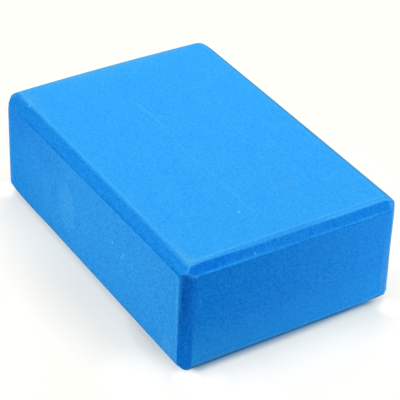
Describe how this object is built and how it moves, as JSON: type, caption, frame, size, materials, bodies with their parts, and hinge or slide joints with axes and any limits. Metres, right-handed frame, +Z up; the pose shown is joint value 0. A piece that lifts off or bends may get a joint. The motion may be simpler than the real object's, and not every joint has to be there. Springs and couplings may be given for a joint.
{
  "type": "foam yoga block",
  "caption": "Rectangular block of blue closed-cell foam with a flat bevel along every edge, to rest a hand, hip or foot on in floor exercise.",
  "frame": {"origin": "centre of the base, on the surface that the block stands on", "axes": "+X along the length, +Y across the width, +Z up through the thickness; the front, at -Y, is the long side whose top bevel drops furthest"},
  "size_m": [0.2286, 0.1524, 0.0762],
  "materials": {
    "foam": "matte"
  },
  "bodies": {
    "root": {"foam_block": "foam"}
  },
  "joints": []
}
